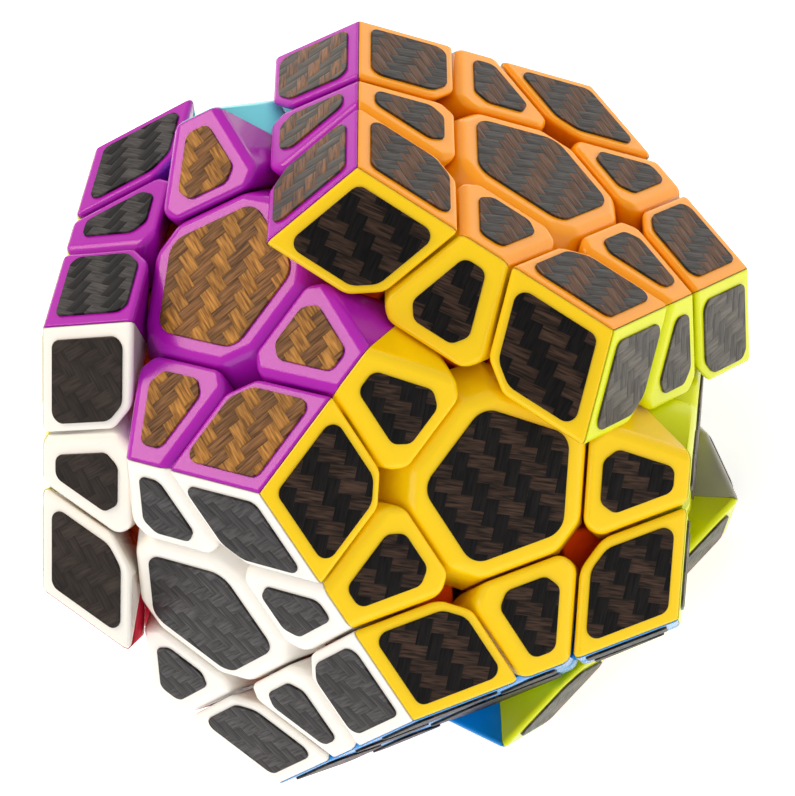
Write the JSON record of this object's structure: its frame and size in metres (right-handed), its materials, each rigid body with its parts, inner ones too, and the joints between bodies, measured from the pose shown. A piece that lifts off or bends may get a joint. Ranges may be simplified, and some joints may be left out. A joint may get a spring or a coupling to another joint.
{
  "type": "dodecahedron twisty puzzle",
  "caption": "Dodecahedron twisty puzzle with coloured plastic pieces, woven carbon-look stickers and three part-turned layers on sprung screw axes.",
  "frame": {"origin": "centre of the pink face's sticker, on which the puzzle rests", "axes": "+Z from the pink face up through the purple face, -Y on the side of the yellow face"},
  "size_m": [0.0848, 0.0867, 0.0757],
  "materials": {
    "purple_plastic": "glossy moulded ABS",
    "orange_plastic": "glossy moulded ABS",
    "yellow_plastic": "glossy moulded ABS",
    "white_plastic": "glossy moulded ABS",
    "lemon_plastic": "glossy moulded ABS",
    "sky_plastic": "glossy moulded ABS",
    "pink_plastic": "glossy moulded ABS",
    "red_plastic": "glossy moulded ABS",
    "green_plastic": "glossy moulded ABS",
    "grey_plastic": "glossy moulded ABS",
    "lime_plastic": "glossy moulded ABS",
    "blue_plastic": "glossy moulded ABS",
    "carbon_sticker": "embossed woven carbon pattern, satin",
    "foot_plastic": "moulded nylon-like plastic",
    "core_plastic": "moulded",
    "steel": "zinc plated"
  },
  "bodies": {
    "body": {"axis_screws": "steel", "centre_bases": "foot_plastic", "centre_caps": "purple_plastic", "core": "core_plastic", "corner_purple_yellow_white": "purple_plastic", "corner_sky_green_grey": "sky_plastic", "corner_white_red_blue": "white_plastic", "corner_yellow_lime_blue": "yellow_plastic", "corner_yellow_white_blue": "yellow_plastic", "edge_green_grey": "green_plastic", "edge_grey_lime": "grey_plastic", "edge_lime_blue": "lime_plastic", "edge_purple_sky": "purple_plastic", "edge_purple_white": "purple_plastic", "edge_purple_yellow": "purple_plastic", "edge_red_blue": "red_plastic", "edge_red_green": "red_plastic", "edge_sky_green": "sky_plastic", "edge_sky_grey": "sky_plastic", "edge_white_blue": "white_plastic", "edge_white_red": "white_plastic", "edge_yellow_blue": "yellow_plastic", "edge_yellow_lime": "yellow_plastic", "edge_yellow_white": "yellow_plastic", "springs": "steel", "washers": "steel"},
    "orange_layer": {"centre_orange": "orange_plastic", "corner_orange_grey_lime": "orange_plastic", "corner_orange_sky_grey": "orange_plastic", "corner_orange_yellow_lime": "orange_plastic", "corner_purple_orange_sky": "purple_plastic", "corner_purple_orange_yellow": "purple_plastic", "edge_orange_grey": "orange_plastic", "edge_orange_lime": "orange_plastic", "edge_orange_sky": "orange_plastic", "edge_orange_yellow": "orange_plastic", "edge_purple_orange": "purple_plastic"},
    "lemon_layer": {"centre_lemon": "lemon_plastic", "corner_lemon_red_green": "lemon_plastic", "corner_lemon_sky_green": "lemon_plastic", "corner_purple_lemon_sky": "purple_plastic", "corner_purple_white_lemon": "purple_plastic", "corner_white_lemon_red": "white_plastic", "edge_lemon_green": "lemon_plastic", "edge_lemon_red": "lemon_plastic", "edge_lemon_sky": "lemon_plastic", "edge_purple_lemon": "purple_plastic", "edge_white_lemon": "white_plastic"},
    "pink_layer": {"centre_pink": "pink_plastic", "corner_pink_green_grey": "pink_plastic", "corner_pink_grey_lime": "pink_plastic", "corner_pink_lime_blue": "pink_plastic", "corner_pink_red_blue": "pink_plastic", "corner_pink_red_green": "pink_plastic", "edge_pink_blue": "pink_plastic", "edge_pink_green": "pink_plastic", "edge_pink_grey": "pink_plastic", "edge_pink_lime": "pink_plastic", "edge_pink_red": "pink_plastic"}
  },
  "joints": [
    {"name": "orange_turn", "type": "hinge", "parent": "body", "child": "orange_layer", "pos_m": [0, 0, 0.03527], "axis": [0.8507, -0.2764, 0.4472], "continuous": true},
    {"name": "lemon_turn", "type": "hinge", "parent": "body", "child": "lemon_layer", "pos_m": [0, 0, 0.03527], "axis": [-0.5257, 0.7236, 0.4472], "continuous": true},
    {"name": "pink_turn", "type": "hinge", "parent": "body", "child": "pink_layer", "pos_m": [0, 0, 0.03527], "axis": [0, 0, -1], "continuous": true}
  ]
}
